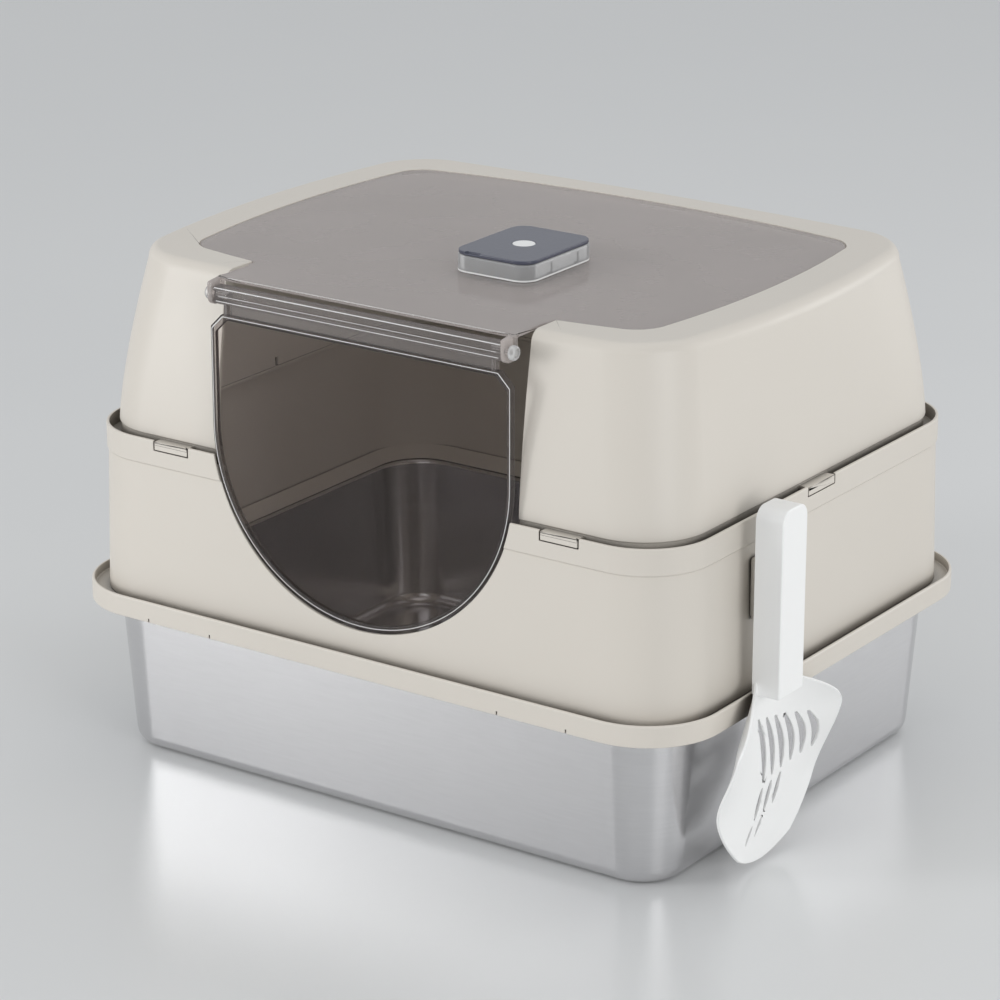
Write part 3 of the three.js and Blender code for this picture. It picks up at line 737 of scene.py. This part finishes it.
def make_flap_bar():
    front = HINGE_Y - 5.3
    rear = HINGE_Y + 5.3
    low = HINGE_Z - 5.8
    high = HINGE_Z + 5.8
    outline = rounded([
        (front, high, 1.2), (front, high - 2.6, 0.3), (front + 1.2, high - 3.0, 0.3),
        (front + 1.2, high - 5.0, 0.3), (front + 0.3, high - 5.4, 0.2), (front + 0.3, high - 6.2, 0.2),
        (front + 1.4, high - 6.6, 0.3), (front + 1.4, low + 3.4, 0.3), (front + 0.2, low + 3.0, 0.3),
        (front + 0.2, low + 1.6, 0.4), (front + 1.8, low, 0.8), (rear, low, 2.2), (rear, high, 2.2),
    ], 4)
    bar = slab(outline, -BAR_HALF, BAR_HALF, "x")
    neck = brick((-BAR_HALF + 6, HINGE_Y - 1.05, FLAP_TOP - 0.4), (BAR_HALF - 6, HINGE_Y + 1.05, low + 1))
    bar = joined(bar, neck)
    for side in (-1, 1):
        x = mirrored((BAR_HALF - 9, BAR_HALF - 6.4), side)
        bar = joined(bar, brick((x[0], HINGE_Y - 2.6, FLAP_TOP - 0.4), (x[1], HINGE_Y + 2.6, low + 1)))
    for side in (-1, 1):
        bore = turned([(0, 0), (2.5, 0), (2.5, 11), (0, 11)],
                      (side * (BAR_HALF - 4.5) - 5.5, HINGE_Y, HINGE_Z), "x", 24)
        bar = cut(bar, bore)
    finish_piece("flap_bar", bar, "flap", SMOKE_BAR, ["entry_flap"], 0.2)
    # Painted highlight: fine near-white beads along the bar's front edges stand in for their glints.
    lines = joined(
        bead(BAR_HALF - 0.6, front + 0.25, high - 0.55, 0.38),
        bead(BAR_HALF - 2, front + 0.3, low + 2.3, 0.3),
        bead(BAR_HALF - 4, front + 0.4, high - 5.8, 0.22))
    finish_piece("bar_edge_highlights", lines, "flap", EDGE_HIGHLIGHT, ["entry_flap"])


# ------------------------------------------------------------------ deodorizer box

def make_case():
    low, high = CASE_LOW, CASE_HIGH
    case = slab(rectangle(low, high, 12, 10), low.z, high.z)
    soften(case, 1.2, 3)
    wall = 1.6
    hollow = slab(
        rectangle((low.x + wall, low.y + wall), (high.x - wall, high.y - wall), 12 - wall, 10),
        low.z + wall, high.z + 1)
    case = cut(case, hollow)
    for y in (low.y + 27, high.y - 22):
        rib = brick((high.x - wall - 1.2, y - 3, low.z + 1), (high.x - wall + 0.4, y + 3, high.z - 2.6))
        case = joined(case, rib)
    finish_piece("case_box", case, "top", CLEAR, ["deodorizer_case"])
    # Painted highlight: a thin white band round the clear case's foot stands in for the bright glint along
    # its bottom edge.
    foot = slab(rectangle(low, high, 12, 10), low.z + 0.1, low.z + 1.3)
    inside = slab(
        rectangle((low.x + 1.2, low.y + 1.2), (high.x - 1.2, high.y - 1.2), 10.8, 10), low.z - 1, low.z + 3)
    finish_piece("case_bottom_highlight", cut(foot, inside), "top", WHITE)


def make_bag():
    bag = slab(rectangle(BAG_LOW, BAG_HIGH, 8, 8), BAG_LOW.z, BAG_HIGH.z)
    bmesh.ops.subdivide_edges(
        bag, edges=[edge for edge in bag.edges if abs(edge.verts[0].co.z - edge.verts[1].co.z) > 1], cuts=3)
    soften(bag, 1.6, 4)
    finish_piece("charcoal_bag", bag, "top", CHARCOAL, ["charcoal_pack"])


def make_lid():
    low, high = LID_LOW, LID_HIGH
    flange = 2.4
    middle = ((low.x + high.x) / 2, (low.y + high.y) / 2)
    lid = slab(rectangle(low, high, 11.5, 12), high.z - flange, high.z)
    soften(lid, 0.5, 3)
    inset = 1.6
    plug = slab(
        rectangle((low.x + inset, low.y + inset), (high.x - inset, high.y - inset), 10, 12),
        low.z, high.z - flange + 0.5)
    lid = joined(lid, plug)
    seat = turned([(0, 0), (8, 0), (8, 4), (0, 4)], (*middle, high.z - 1.6), "z", 64)
    notch = slab(
        rectangle((low.x + 10.5, low.y - 3), (low.x + 22.5, low.y + 2.4), 1.5, 4), high.z - 1.3, high.z + 1)
    finish_piece("case_lid", cut(lid, seat, notch), "lid", SLATE, ["deodorizer_lid"], 0.15)
    disc = turned(
        rounded([(0, DISC_LOW.z), (7.7, DISC_LOW.z), (7.7, DISC_HIGH.z, 0.4), (0, DISC_HIGH.z)], 4, False),
        (*middle, 0), "z", 64)
    finish_piece("scent_disc", disc, "lid", WHITE, ["scent_pad"])


# ------------------------------------------------------------------ scoop

SCOOP_Y = -94.0
SCOOP_BACK = 251.4
NECK = 131.0
BLADE_HALF = 65.0
BLADE_DEEP = 20.0
BLADE_THICK = 1.8
BLADE_STEPS = 40
BLADE_LEAN = 2.0
BLADE_CURL = 0.22  # where along the blade its sides stand highest
BLADE_FLAT = 0.72  # and where they have flattened out
HANDLE_WIDTH = 30.0
HANDLE_DEPTH = 20.0
PLATE_BOTTOM = 168
PLATE_TOP = 208
ARM_START = (241, 172)  # X and Z of the middle of the hanger's sloping arm at the fence
ARM_THICK = 3.4
ARM_HALF = 5


def blade_half(part):
    opening = math.sin(min(part / 0.3, 1) * math.pi / 2)
    closing = max((part - 0.5) / 0.5, 0)
    return (15 + (BLADE_HALF - 15) * opening) * (1 - 0.5 * closing ** 2)


def blade_side(part):
    rising = math.sin(min(part / BLADE_CURL, 1) * math.pi / 2)
    along = min(max((part - BLADE_CURL) / (BLADE_FLAT - BLADE_CURL), 0), 1)
    return BLADE_DEEP * rising * (1 - 0.85 * along * along * (3 - 2 * along))


def blade_point(across, part):
    tip = SCOOP_LOW.z
    floor = SCOOP_BACK + 1.2 - BLADE_LEAN * max(part - 0.2, 0) / 0.8
    x = floor + blade_side(part) * abs(across) ** 2.6
    return (x, SCOOP_Y + across * blade_half(part), NECK - part * (NECK - tip) + part * 9 * across ** 2)


def slot_outline(y, low, high, width, lean, bow):
    """A curved slot with pointed ends, as Y and Z points."""
    sides = []
    for edge in (-1, 1):
        side = []
        for step in range(13):
            part = step / 12
            swell = math.sin(math.pi * (0.04 + 0.92 * part)) ** 0.55
            middle = y + lean * (part - 0.5) + bow * math.sin(math.pi * part)
            side.append((middle + edge * width / 2 * swell, low + (high - low) * part))
        sides.append(side)
    return sides[0] + sides[1][::-1]


def make_blade():
    blade = bmesh.new()
    bmesh.ops.create_grid(blade, x_segments=BLADE_STEPS, y_segments=BLADE_STEPS, size=1)
    for vert in blade.verts:
        vert.co = blade_point(vert.co.x, (1 - vert.co.y) / 2)
    bmesh.ops.recalc_face_normals(blade, faces=blade.faces)
    if sum(face.normal.x for face in blade.faces) < 0:
        bmesh.ops.reverse_faces(blade, faces=blade.faces)
    bmesh.ops.solidify(blade, geom=blade.faces, thickness=-BLADE_THICK)
    bmesh.ops.recalc_face_normals(blade, faces=blade.faces)
    slots = []
    for i in range(6):
        y = SCOOP_Y - 6 + i * 10.6
        slots.append(slot_outline(y, 58 + i * 1.6, 105 - i * 2.0, 6.2, -10, 3.4))
    for i in range(3):
        y = SCOOP_Y - 6 + i * 11
        slots.append(slot_outline(y, 35 + i * 2, 54 + i * 2, 5.0, 8, 0))
    for i in range(2):
        y = SCOOP_Y - 17 + i * 12
        slots.append(slot_outline(y, 20 + i * 3, 31 + i * 3, 3.4, 8, 0))
    for outline in slots:
        blade = cut(blade, slab(outline, SCOOP_BACK - 30, SCOOP_BACK + 50, "x"))
    finish_piece("scoop_blade", blade, "scoop", WHITE, ["litter_scoop"], 0.4)


def make_handle():
    half = HANDLE_WIDTH / 2
    bottom = NECK - 8

    def bar(inset, x0, x1, low, high):
        return slab(rounded([
            (SCOOP_Y - half + inset, low, 1), (SCOOP_Y + half - inset, low, 1),
            (SCOOP_Y + half - inset, high, 9 - inset), (SCOOP_Y - half + inset, high, 9 - inset),
        ], 7), x0, x1, "x")

    outer = bar(0, SCOOP_BACK, SCOOP_BACK + HANDLE_DEPTH, bottom, SCOOP_HIGH.z)
    soften(outer, 3.2, 5, choose=lambda edge: min(v.co.x for v in edge.verts) > SCOOP_BACK + 15)
    hollow = bar(1.8, SCOOP_BACK - 5, SCOOP_BACK + HANDLE_DEPTH - 1.8, NECK - 3, SCOOP_HIGH.z - 1.8)
    finish_piece("scoop_handle", cut(outer, hollow), "scoop", WHITE, ["litter_scoop"])


def make_hanger():
    low, high = HOOK_LOW, HOOK_HIGH
    middle = (low.y + high.y) / 2
    plate = slab(rectangle((low.y, PLATE_BOTTOM), (high.y, PLATE_TOP), 2, 5), low.x, low.x + 3, "x")
    soften(plate, 0.6, 2)
    rise = math.tan(math.pi / 3)
    thick = ARM_THICK / math.cos(math.pi / 3)
    root = ARM_START[1] - thick / 2 + (low.x + 1 - ARM_START[0]) * rise
    tip = ARM_START[1] - thick / 2 + (high.x - ARM_START[0]) * rise
    arm = slab(rounded([
        (low.x + 1, root), (high.x, tip, 0.8), (high.x, tip + thick, 1.6), (low.x + 1, root + thick),
    ], 4), middle - ARM_HALF, middle + ARM_HALF, "y")
    finish_piece("scoop_hanger", joined(plate, arm), "fence", BEIGE, ["scoop_hook"])


# ------------------------------------------------------------------ camera, floor and light

CAMERA_TURN = math.radians(34.84)
CAMERA_RISE = math.radians(19.13)
CAMERA_PLACE = (1.36996, -1.99628, 1.01293)
LENS = 133.54


def make_camera():
    back = Vector((
        math.sin(CAMERA_TURN) * math.cos(CAMERA_RISE),
        -math.cos(CAMERA_TURN) * math.cos(CAMERA_RISE),
        math.sin(CAMERA_RISE),
    ))
    lens = bpy.data.cameras.new("camera")
    lens.lens = LENS
    lens.sensor_width = 36
    camera = bpy.data.objects.new("camera", lens)
    camera.location = CAMERA_PLACE
    camera.rotation_euler = (-back).to_track_quat("-Z", "Y").to_euler()
    bpy.context.scene.collection.objects.link(camera)
    bpy.context.scene.camera = camera


def make_floor():
    bm = bmesh.new()
    bmesh.ops.create_grid(bm, x_segments=12, y_segments=12, size=9)
    bmesh.ops.translate(bm, verts=bm.verts, vec=(0, 0, -0.0004))
    mesh = bpy.data.meshes.new("floor")
    bm.to_mesh(mesh)
    bm.free()
    paint = Paint("pale floor")
    cloud = paint.noise(2.2, 3.0)
    tone = paint.blend(cloud, (0.70, 0.705, 0.705), (0.735, 0.74, 0.737))
    mesh.materials.append(paint.output(paint.principled(
        base_color=tone, roughness=(0.26 + cloud * 0.06).clamped(), ior=1.45)))
    floor = bpy.data.objects.new("floor", mesh)
    bpy.context.scene.collection.objects.link(floor)


def area_light(name, place, target, size, power):
    light = bpy.data.lights.new(name, "AREA")
    light.shape = "RECTANGLE"
    light.size, light.size_y = size
    light.energy = power
    lamp = bpy.data.objects.new(name, light)
    lamp.location = place
    lamp.rotation_euler = (Vector(target) - Vector(place)).to_track_quat("-Z", "Y").to_euler()
    lamp.visible_camera = False
    bpy.context.scene.collection.objects.link(lamp)


def make_light():
    scene = bpy.context.scene
    scene.view_settings.view_transform = "Standard"
    world = bpy.data.worlds.new("studio")
    world.use_nodes = True
    sky = world.node_tree.nodes["Background"]
    sky.inputs["Color"].default_value = (0.93, 0.95, 0.97, 1)
    sky.inputs["Strength"].default_value = 0.64
    scene.world = world
    area_light("key softbox", (-1.7, -2.2, 0.95), (-0.05, -0.1, 0.15), (0.8, 1.3), 16)
    area_light("low left softbox", (-1.25, -1.5, 0.3), (-0.15, -0.2, 0.1), (0.35, 0.5), 5)
    area_light("top softbox", (0.2, 0.6, 2.8), (0, 0, 0.2), (2.4, 2.4), 9)
    area_light("right softbox", (2.2, -0.9, 0.6), (0.2, 0, 0.1), (1.0, 1.0), 13)
    area_light("rear softbox", (1.3, 1.7, 0.5), (0.2, 0, 0.1), (0.9, 0.8), 7)


make_camera()
make_light()
make_floor()
make_tub()
make_collar()
make_fence()
make_hood()
make_roof_window()
make_pins()
make_flap()
make_flap_bar()
make_case()
make_bag()
make_lid()
make_blade()
make_handle()
make_hanger()
